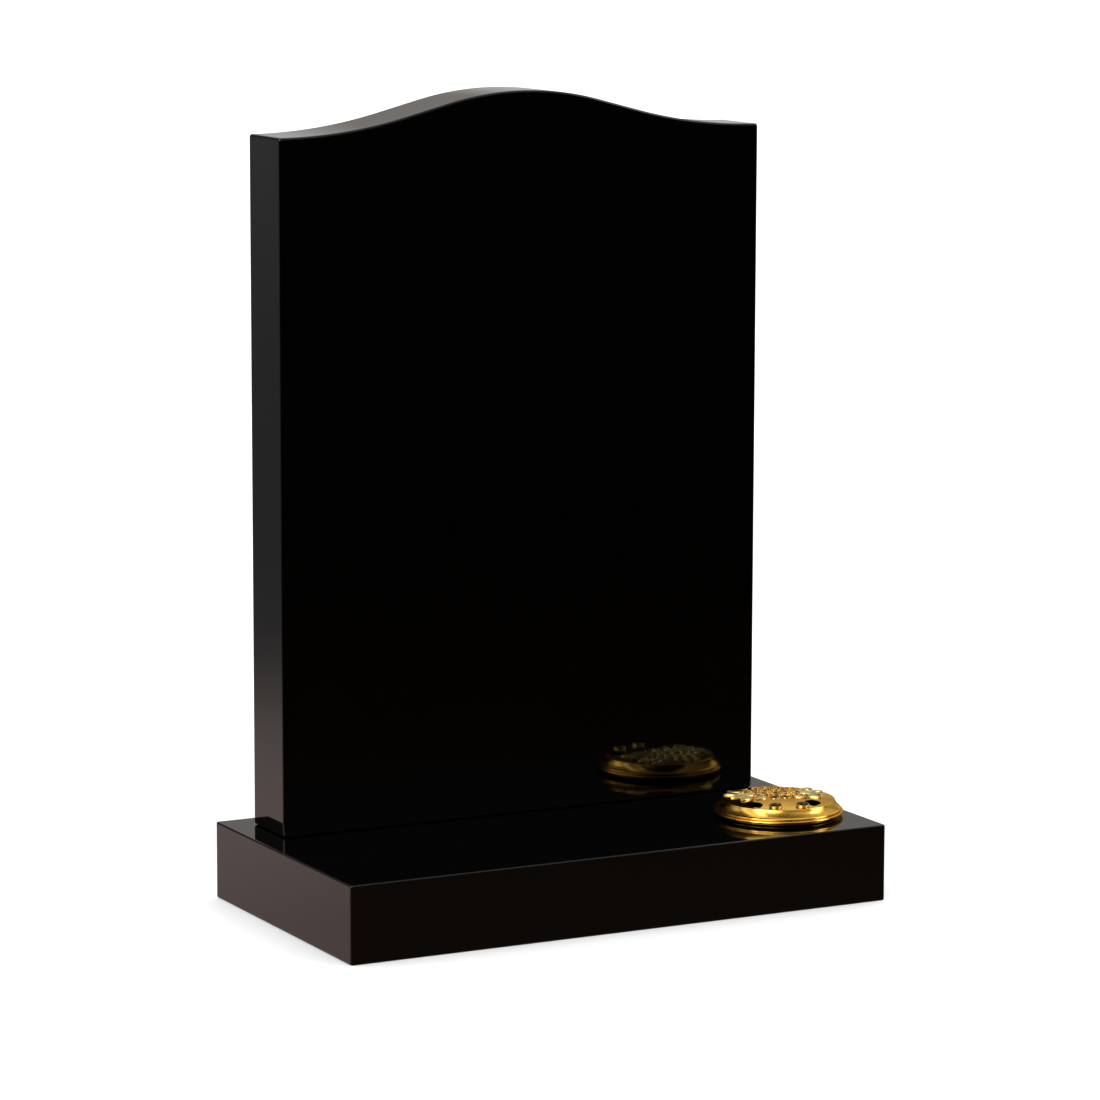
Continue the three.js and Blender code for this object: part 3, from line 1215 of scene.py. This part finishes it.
@dataclass(frozen=True)
class FlowerLid:
    """The cast gilt lid: a shallow dome with stem holes and a spray of blossoms and leaves.

    Attributes:
        at: Where its axis meets its underside.
        turn: How far it is turned about its axis, in degrees.
        radius: Outer radius of the rim.
        bore: Inner radius, over the pot's collar.
        wall: Thickness of the dome.
        rim_bead: Radius of the bead at the foot of the rim.
        small_bead: Radius of the bead above it.
        bead_inset: How far the small bead stands back.
        band_foot: Radius and height of the band's foot.
        band_steps: How many parts the band is drawn in.
        band_hollow: How far the band is hollowed.
        top_edge: Radius and height of the dome's edge.
        dome_rise: Height of the dome above its edge.
        opening: Length and width of the leaf-shaped openings.
        openings: Place of each across and front to back, and its turn in degrees.
        holes: The four stem holes.
        leaf: Length and width of a leaf.
        leaf_grid: Strips along a leaf and across it.
        blossom: Radius of a blossom.
        spacing: How far apart the blossoms stand.
        clearance: How far their middles keep from a stem hole's edge.
        spray_middle: Middle of the blossoms' patch, front to back.
        spray_half: Half the patch across, and half front to back.
        spray_front: How far to the front the blossoms come.
        mound: How much higher the patch's middle stands.
        tries: How many places for a blossom are looked at, from the axis outwards.
        collar_lean: How far the collars lean outwards with the dome, in radians.
    """

    at: Point = (232.0, -68.5, 83.3)
    turn: float = -16.4
    radius: float = 68.0
    bore: float = 56.7
    wall: float = 2.5
    rim_bead: float = 1.35
    small_bead: float = 1.2
    bead_inset: float = 2.2
    band_foot: Ring = (64.0, 5.6)
    band_steps: int = 9
    band_hollow: float = 0.7
    top_edge: Ring = (59.0, 13.5)
    dome_rise: float = 2.6
    opening: Ring = (26.0, 17.0)
    openings: tuple[tuple[float, float, float], ...] = ((28.3, -34.0, -100.0), (-33.0, -32.5, -80.0))
    holes: tuple[StemHole, ...] = (
        StemHole(14.298, -45.821, 5.0, 1.0, 2.5),
        StemHole(-14.298, -45.821, 5.0, 1.0, 2.5),
        StemHole(6.0, -9.5, 3.3, 0.4, 1.3),
        StemHole(-6.0, -9.5, 3.3, 0.4, 1.3),
    )
    leaf: Ring = (22.0, 11.0)
    leaf_grid: tuple[int, int] = (18, 12)
    blossom: float = 5.6
    spacing: float = 5.7
    clearance: float = 5.0
    spray_middle: float = 21.0
    spray_half: Ring = (34.0, 33.0)
    spray_front: float = -2.0
    mound: float = 0.35
    tries: int = 140
    collar_lean: float = math.radians(8)

    def dome(self, far: float) -> float:
        """Height of the dome above the lid's underside.

        Args:
            far: Distance from the axis.

        Returns:
            The height in millimetres.
        """
        edge, height = self.top_edge
        ball = (edge**2 + self.dome_rise**2) / (2 * self.dome_rise)
        return height + self.dome_rise - (ball - math.sqrt(ball**2 - far**2))

    def lay(
        self, x: float, y: float, height: float = 0.0, turn: float = 0.0, tilt: float = 0.0, size: float = 1.0
    ) -> Matrix:
        """Where a bit of ornament goes on the dome.

        Args:
            x: Across, from the axis.
            y: Front to back, from the axis.
            height: Above the dome.
            turn: Turned about the upright, in radians.
            tilt: Leaned outwards, in radians.
            size: Made larger or smaller.

        Returns:
            The matrix that puts a model made round the origin in its place.
        """
        far = math.hypot(x, y)
        lid = Matrix.Translation(Vector(self.at) * MM) @ Matrix.Rotation(math.radians(self.turn), 4, "Z")
        spot = Matrix.Translation(Vector((x, y, self.dome(far) + height)) * MM)
        lean = Matrix.Rotation(tilt, 4, Vector((-y, x, 0)) if far > 0.1 else Vector((1, 0, 0)))
        return lid @ spot @ lean @ Matrix.Rotation(turn, 4, "Z") @ Matrix.Scale(size, 4)

    def shell(self) -> Piece:
        """Turns the lid's body and cuts its openings.

        Returns:
            The body, closed.
        """
        foot_radius, foot_height = self.band_foot
        edge_radius, edge_height = self.top_edge
        inner_edge = self.dome(self.bore) - self.wall
        rings = [(radius, self.dome(radius) - self.wall) for radius in (4.0, 14.0, 26.0, 38.0, 48.0, 54.0)]
        rings += bow((self.bore - 1.5, inner_edge - 1.5), 1.5, 80, 0, 4)
        rings += [(self.bore, 0.5), (self.bore + 0.5, 0.0), (62.0, 0.0)]
        rings += bow((self.radius - self.rim_bead, self.rim_bead), self.rim_bead, -90, 80, 13)
        small = (self.radius - self.bead_inset - self.small_bead, 2 * self.rim_bead + self.small_bead)
        rings += bow(small, self.small_bead, -66, 74, 11)
        rings += [(foot_radius + 0.12, foot_height - 0.25), (foot_radius - 0.1, foot_height)]
        for step in range(1, self.band_steps):
            share = step / self.band_steps
            hollow = self.band_hollow * 4 * share * (1 - share)
            radius = foot_radius - 0.1 + (edge_radius + 0.5 - foot_radius) * share - hollow
            rings.append((radius, foot_height + (edge_height - 0.9 - foot_height) * share))
        rings += bow((edge_radius - 0.55, edge_height - 0.72), 0.75, 20, 84, 6)
        rings += [(radius, self.dome(radius)) for radius in (57.6, 56.4, *range(54, 0, -3))]
        body = Lathe(self.at, 192).turn("flower_lid_body", rings)
        Bench.cut(body, Bench.join("lid_cutters", self._cutters()))
        return body

    def _cutters(self) -> list[Piece]:
        """Round pins for the stem holes and leaf-shaped ones for the two openings.

        Returns:
            The closed cutters, in place.
        """
        cutters = []
        for hole in self.holes:
            rings = [(hole.radius * 0.5, -8), (hole.radius, -8), (hole.radius, 4), (hole.radius * 0.5, 4)]
            cutters.append(Bench.move(Lathe().turn("pin", rings), self.lay(hole.x, hole.y)))
        for x, y, turn in self.openings:
            blank = self._blade("opening", self.opening, (16, 2))
            with Bench.shaping(blank):
                bpy.ops.mesh.select_all(action="SELECT")
                bpy.ops.transform.translate(value=(0, 0, -8 * MM))
                bpy.ops.mesh.extrude_region_move(TRANSFORM_OT_translate={"value": (0, 0, 12 * MM)})
            Bench.outward(blank)
            cutters.append(Bench.move(blank, self.lay(x, y, turn=math.radians(turn))))
        return cutters

    @staticmethod
    def _blade(name: str, size: Ring, grid: tuple[int, int], relief: Sequence[float] = ()) -> Piece:
        """A flat leaf shape round the origin, drawn in from a grid.

        Args:
            name: The piece's name.
            size: Its length tip to tip, along x, and its greatest width.
            grid: Strips along its length and across its width.
            relief: Height of each line from one margin to the other; none leaves it flat.

        Returns:
            An open sheet with pointed ends.
        """
        (length, width), (columns, rows) = size, grid
        Bench.clear()
        bpy.ops.mesh.primitive_grid_add(x_subdivisions=columns, y_subdivisions=rows, size=1)
        bpy.context.object.scale = (length * MM, width * MM, 1)
        sheet = Bench.start(name)
        with Bench.shaping(sheet):
            for row, height in enumerate(relief):
                y = width * (row / rows - 0.5) * MM
                Bench.pick(sheet, Hold.VERTS, lambda vert: abs(vert.co.y - y) < ON_LINE)
                bpy.ops.transform.translate(value=(0, 0, height * MM))
            for column in range(columns + 1):
                share = column / columns
                x = length * (share - 0.5) * MM
                draw = max(0.03, math.sin(math.pi * share**0.85) ** 0.8)
                Bench.pick(sheet, Hold.VERTS, lambda vert: abs(vert.co.x - x) < ON_LINE)
                bpy.ops.transform.resize(value=(1, draw, 0.35 + 0.65 * draw), center_override=(x, 0, 0))
        return sheet

    def leaf_model(self) -> Piece:
        """One cast leaf round the origin: a raised rim, hollow halves, a midrib and side veins.

        Returns:
            The leaf, closed.
        """
        relief = (-0.4, 0.95, 0.75, 0.05, -0.05, 0.35, 0.9, 0.35, -0.05, 0.05, 0.75, 0.95, -0.4)
        leaf = self._blade("leaf_model", self.leaf, self.leaf_grid, relief)
        columns = self.leaf_grid[0]
        with Bench.shaping(leaf):
            for column in range(3, columns - 2, 2):
                x = self.leaf[0] * (column / columns - 0.5) * MM
                Bench.pick(
                    leaf,
                    Hold.VERTS,
                    lambda vert: abs(vert.co.x - x) < ON_LINE and 0.3 * MM < abs(vert.co.y) < 3.6 * MM,
                )
                bpy.ops.transform.translate(value=(0.35 * MM, 0, 0.3 * MM))
            bpy.ops.mesh.select_all(action="SELECT")
            bpy.ops.transform.translate(value=(0, 0, 0.9 * MM))
            bpy.ops.mesh.extrude_region_move(TRANSFORM_OT_translate={"value": (0, 0, -2.6 * MM)})
        Bench.outward(leaf)
        Bench.finish_with(leaf, "SUBSURF", levels=1, render_levels=1)
        return leaf

    def blossom_model(self) -> Piece:
        """One blossom round the origin: five cupped petals and a ringed eye.

        Returns:
            The blossom as one mesh of closed shells.
        """
        size = self.blossom / DRAWN_BLOSSOM
        rings = [(1.5, -1.5), (2.2, -0.2), (2.45, 0.25), (2.25, 0.55), (1.5, 0.3), (0.8, 0.12)]
        petal = Lathe(steps=14).turn("petal", rings)
        parts = []
        for number in range(PETALS):
            spin = Matrix.Rotation(number * 2 * math.pi / PETALS, 4, "Z")
            out = Matrix.Translation(Vector((3.0, 0, 0.45)) * MM * size)
            tip = Matrix.Rotation(-0.2, 4, "Y")
            stretch = Matrix.Diagonal((1.12 * size, 0.82 * size, size, 1))
            parts.append(Bench.copy(petal, f"petal_{number}", spin @ out @ tip @ stretch))
        Bench.discard(petal)
        rings = [(1.15, -0.6), (1.25, 0.9), (1.05, 1.35), (0.7, 1.2), (0.45, 1.5)]
        eye = Lathe(steps=12).turn("eye", [(radius * size, height * size) for radius, height in rings])
        return Bench.join("blossom_model", [*parts, eye])

    def spray(self) -> list[Piece]:
        """Copies the blossoms, leaves and collars to their places.

        Returns:
            The ornament's parts.
        """
        parts = []
        blossom = self.blossom_model()
        for number in range(self.tries):
            ring = self.spacing * math.sqrt(number + 0.5)
            angle = number * GOLDEN_ANGLE
            x, y = ring * math.cos(angle), ring * math.sin(angle)
            share = (x / self.spray_half[0]) ** 2 + ((y - self.spray_middle) / self.spray_half[1]) ** 2
            clear = all(
                math.hypot(x - hole.x, y - hole.y) > hole.radius + self.clearance for hole in self.holes
            )
            if share < 1 and y > self.spray_front and clear:
                lean = 0.2 * math.sin(number * 2.4) + 0.12 * share
                size = 0.9 + 0.22 * math.sin(number * 1.7) ** 2
                height = self.mound * (1 - share) + 0.2 * math.sin(number * 3.1)
                place = self.lay(x, y, height, angle, lean, size)
                parts.append(Bench.copy(blossom, f"blossom_{number}", place))
        Bench.discard(blossom)
        leaf = self.leaf_model()
        for number, spot in enumerate(LEAVES):
            for side in (1, -1):
                turn = math.radians(spot.turn) if side > 0 else math.pi - math.radians(spot.turn)
                tilt = math.radians(spot.tilt)
                place = self.lay(side * spot.x, spot.y, spot.lift, turn, tilt, spot.length)
                parts.append(Bench.copy(leaf, f"leaf_{number}_{side}", place))
        Bench.discard(leaf)
        return parts + [self._collar(hole) for hole in self.holes]

    def _collar(self, hole: StemHole) -> Piece:
        """Turns the flared collar of a stem hole.

        Args:
            hole: The hole that it stands round.

        Returns:
            The collar, in place.
        """
        mouth = hole.radius + hole.flare
        rings = [(hole.radius - 0.05, -2.2), (hole.radius - 0.05, 0.3)]
        rings += [(hole.radius + hole.flare * 0.35, hole.rise * 0.6), (mouth - 0.1, hole.rise - 0.3)]
        rings += bow((mouth + 0.4, hole.rise - 0.5), 0.5, 150, -30, 7)
        rings += [(mouth + 0.45, hole.rise * 0.6), (hole.radius + 1.15, hole.rise * 0.32)]
        rings += [(hole.radius + 1.2, 0.35), (hole.radius + 1.7, -0.1), (hole.radius + 1.9, -1.4)]
        collar = Lathe(steps=40).turn("collar", rings, poles=False)
        return Bench.move(collar, self.lay(hole.x, hole.y, tilt=self.collar_lean))

    def build(self) -> tuple[Piece, Piece]:
        """Makes the lid's body and the spray cast on it.

        Returns:
            The body and the spray.
        """
        body = self.shell()
        spray = Bench.join("flower_lid_spray", self.spray())
        Bench.smooth(spray, 50)
        return body, spray

    def dress(self, body: Piece, spray: Piece, effects: Effects) -> None:
        """Polishes the dome and the spray, brushes the band and the rim, and paints shade into the stem
        holes' mouths.

        Args:
            body: The lid's body.
            spray: Its ornament.
            effects: The shared shader groups.
        """
        axis = Vector(self.at[:2]) * MM
        edge = (self.top_edge[0] - 0.7) * MM
        Bench.dress(body, GiltMetal("gilt_polished_dome").make(effects, self.at))
        brushed = GiltMetal("gilt_brushed_band", roughness=0.2, spread=0.02, brushed=0.3, marks=0.0004)
        Bench.dress(body, brushed.make(effects, self.at), lambda face: from_axis(face, axis) > edge)
        bead = (self.at[2] + self.band_foot[1] - 0.3) * MM
        rim = GiltMetal("gilt_burnished_rim", roughness=0.12, spread=0.02, cast=0.004)
        Bench.dress(body, rim.make(effects, self.at), lambda face: face.calc_center_median().z < bead)
        Bench.smooth(body, 38, 50)
        pale, warm = (0.72, 0.58, 0.26), (0.64, 0.51, 0.22)
        cast = GiltMetal("gilt_cast_spray", pale, warm, roughness=0.25, spread=0.06, cast=0.01)
        Bench.dress(spray, cast.make(effects, self.at))
        # The collars' mouths and inner walls take a dark metal all over: painted shade in the stem holes.
        mouths = []
        for hole in self.holes:
            mouths.append((self.lay(hole.x, hole.y).translation.xy, (hole.radius + hole.flare - 0.1) * MM))
        hole_shade = SpunMetal("stem_hole_painted_shade", darker_tone=(0.06, 0.03, 0.014), dark_below=200.0)
        Bench.dress(
            spray,
            hole_shade.make(effects),
            lambda face: any(from_axis(face, spot) < reach for spot, reach in mouths),
        )
        for piece in (body, spray):
            Bench.hand_over(piece, "flower_lid", Slot.GILT)


@dataclass(frozen=True)
class Room:
    """What the polished faces mirror: the room's brightness by height and by bearing.

    Bearings run in degrees from 0 in front of the object, through 90 on its right, to 180 behind.

    Attributes:
        behind: Elevation in degrees and colour or grey, behind the object.
        before: The same for the room in front of it.
        bearing: Bearing and how much brighter the room above the horizon is there.
        strips: Bearing and brightness of the tall strip lamps.
        low_strips: Bearing and brightness of the low lamps, front left.
        ambient: Brightness that falls on the floor.
    """

    behind: tuple[Stop, ...] = (
        (-90.0, (0.27, 0.24, 0.235)),
        (-13.6, (0.525, 0.40, 0.375)),
        (-12.6, (0.645, 0.495, 0.47)),
        (-12.0, (0.635, 0.50, 0.47)),
        (-11.4, (0.54, 0.445, 0.42)),
        (-10.8, (0.35, 0.30, 0.28)),
        (-10.2, (0.165, 0.155, 0.155)),
        (-9.0, 0.13),
        (-6.5, 0.14),
        (-3.5, 0.21),
        (1.0, 0.57),
        (6.0, 0.56),
        (12.0, (0.38, 0.35, 0.325)),
        (15.5, (0.42, 0.40, 0.38)),
        (21.0, (0.72, 0.72, 0.71)),
        (30.0, 0.85),
        (45.0, 0.9),
        (90.0, 0.9),
    )
    before: tuple[Stop, ...] = (
        (-90.0, (0.12, 0.10, 0.09)),
        (-13.6, (0.09, 0.06, 0.045)),
        (-12.6, (0.075, 0.05, 0.035)),
        (-11.5, (0.022, 0.014, 0.006)),
        (-9.0, (0.008, 0.004, 0.002)),
        (-2.0, (0.012, 0.009, 0.007)),
        (3.0, (0.017, 0.016, 0.015)),
        (10.0, 0.018),
        (20.0, 0.07),
        (37.0, 0.24),
        (46.0, 0.20),
        (56.0, 0.08),
        (90.0, 0.05),
    )
    bearing: tuple[Ring, ...] = (
        (-180, 0.2), (-158, 0.18), (-150, 0.12), (-143, 0.3), (-136, 0.5), (-122, 0.9), (-112, 1.5),
        (-106, 1.9), (-99, 1.4), (-90, 1.1), (-66, 1.5), (-56, 2.6), (-44, 4.0), (-38, 4.6), (-31, 2.6),
        (-20, 1.4), (-2, 1.5), (8, 1.9), (15, 2.7), (36, 3.0), (60, 2.6), (70, 1.6), (80, 0.85), (92, 0.66),
        (119, 0.7), (135, 0.95), (155, 1.0), (166, 1.0), (170, 0.2), (180, 0.2),
    )
    strips: tuple[Ring, ...] = (
        (-180, 0), (-81, 0), (-78, 6), (-69, 6), (-66, 0), (45, 0), (50, 5), (66, 4), (73, 0), (180, 0),
    )
    low_strips: tuple[Ring, ...] = (
        (-180, 0), (-64, 0), (-58, 8), (-46, 8), (-38, 2.5), (-26, 1.2), (-18, 0), (180, 0),
    )
    ambient: float = 1.66

    def build(self) -> None:
        """Builds the world: white to the eye, soft light on the floor, the room in the polish."""
        world = bpy.data.worlds.new("studio_room")
        bpy.context.scene.world = world
        world.use_nodes = True
        world.cycles.sampling_method = "NONE"
        desk = Desk(world.node_tree)
        desk.tree.nodes.clear()
        direction = desk.put("ShaderNodeTexCoord").outputs["Generated"]
        across, depth, upright = desk.put("ShaderNodeSeparateXYZ", {0: direction}).outputs
        height = desk.span(upright, -1.0, 1.0, kind="LINEAR")
        turn = desk.sum("ARCTAN2", across, desk.sum("MULTIPLY", depth, -1.0))
        around = desk.span(turn, -math.pi, math.pi, kind="LINEAR")
        walls = desk.blend(
            desk.span(depth, -0.3, 0.0),
            desk.ramp(height, self._heights(self.before)),
            desk.ramp(height, self._heights(self.behind)),
        )
        top = desk.span(across, -0.1, 0.1, 0.93, 0.70)
        raised = desk.window(upright, (-0.03, 0.05), (0.96, 0.86))
        lit = desk.window(upright, (0.02, 0.16), (top, desk.sum("SUBTRACT", top, 0.1)))
        low = desk.window(upright, (0.2, 0.27), (0.64, 0.5))
        whole = (RAMP_SHARE, RAMP_SHARE, RAMP_SHARE)
        factor = desk.blend(raised, (0.1, 0.1, 0.1), desk.ramp(around, self._bearings(self.bearing)))
        mirrored = desk.colours("MULTIPLY", desk.colours("MULTIPLY", walls, factor), whole)
        for mask, stops in ((lit, self.strips), (low, self.low_strips)):
            lamps = desk.blend(mask, (0, 0, 0), desk.ramp(around, self._bearings(stops)))
            mirrored = desk.colours("ADD", mirrored, desk.colours("MULTIPLY", lamps, whole))
        ray = desk.put("ShaderNodeLightPath").outputs
        shown = desk.put("ShaderNodeBackground", {0: WHITE, 1: self.ambient}).outputs[0]
        for share, colour in ((ray["Is Glossy Ray"], mirrored), (ray["Is Camera Ray"], WHITE)):
            background = desk.put("ShaderNodeBackground", {0: colour, 1: 1.0}).outputs[0]
            shown = desk.put("ShaderNodeMixShader", {0: share, 1: shown, 2: background}).outputs[0]
        desk.put("ShaderNodeOutputWorld", {0: shown})

    @staticmethod
    def _bearings(stops: Sequence[Ring]) -> list[Stop]:
        """Turns bearings into places on a ramp that runs once round, a tenth as bright.

        Args:
            stops: Bearing in degrees and brightness.

        Returns:
            Place from 0 to 1 and grey.
        """
        return [((bearing + 180) / 360, value / RAMP_SHARE) for bearing, value in stops]

    @staticmethod
    def _heights(stops: Sequence[Stop]) -> list[Stop]:
        """Turns elevations into places on a ramp over the upright part of a direction.

        Args:
            stops: Elevation in degrees and colour.

        Returns:
            Place from 0 to 1 and colour.
        """
        return [((math.sin(math.radians(elevation)) + 1) / 2, colour) for elevation, colour in stops]


@dataclass(frozen=True)
class Studio:
    """The camera, the pale floor and the soft light.

    Attributes:
        eye: Where the camera stands, in metres.
        yaw: Which way it looks, in degrees from the front, right-handed about the upright.
        pitch: How far it looks down, in degrees.
        roll: How far it leans, in degrees.
        lens: Its focal length, in millimetres.
        floor_size: Side of the floor, in metres.
    """

    eye: Point = (-2.13843, -4.07051, 1.09172)
    yaw: float = -27.698
    pitch: float = 8.975
    roll: float = 0.154
    lens: float = 148.89
    floor_size: float = 90.0

    def camera(self) -> None:
        """Stands the camera where the picture was taken from."""
        yaw, pitch, roll = (math.radians(angle) for angle in (self.yaw, self.pitch, self.roll))
        back = Vector((math.sin(yaw) * math.cos(pitch), -math.cos(yaw) * math.cos(pitch), math.sin(pitch)))
        right = (-back).cross(Vector((0, 0, 1))).normalized()
        up = right.cross(-back)
        across = right * math.cos(roll) + up * math.sin(roll)
        upward = up * math.cos(roll) - right * math.sin(roll)
        data = bpy.data.cameras.new("studio_camera")
        data.sensor_width = 36
        data.lens = self.lens
        data.clip_end = 300
        camera = bpy.data.objects.new("studio_camera", data)
        bpy.context.scene.collection.objects.link(camera)
        turn = Matrix((across, upward, back)).transposed().to_4x4()
        camera.matrix_world = Matrix.Translation(Vector(self.eye)) @ turn
        bpy.context.scene.camera = camera

    def floor(self) -> None:
        """Lays the pale floor."""
        Bench.clear()
        bpy.ops.mesh.primitive_grid_add(x_subdivisions=6, y_subdivisions=6, size=self.floor_size)
        floor = Bench.start("studio_floor")
        surface = Surface("floor_pale")
        desk = surface.desk
        tone = desk.blend(desk.noise(surface.place, 900, 2), (0.86, 0.86, 0.86), (0.88, 0.88, 0.88))
        surface.set(Base_Color=tone, Roughness=0.9, Specular_IOR_Level=0.0)
        Bench.dress(floor, surface.material)
        floor.visible_glossy = False

    def light(self) -> None:
        """Builds the room that lights the object."""
        Room().build()
        bpy.context.scene.view_settings.view_transform = "Standard"


def main() -> None:
    """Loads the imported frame, builds each piece in order and reports it."""
    logging.basicConfig(level=logging.INFO, format="%(name)s: %(message)s")
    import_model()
    studio = Studio()
    studio.camera()
    studio.light()
    studio.floor()
    effects = Effects()
    headstone = Headstone()
    headstone.dress(headstone.build(), effects)
    plinth = Plinth()
    plinth.dress(plinth.build(), effects)
    pot = FlowerPot()
    pot.dress(pot.build(), effects)
    lid = FlowerLid()
    lid.dress(*lid.build(), effects)


if __name__ == "__main__":
    main()
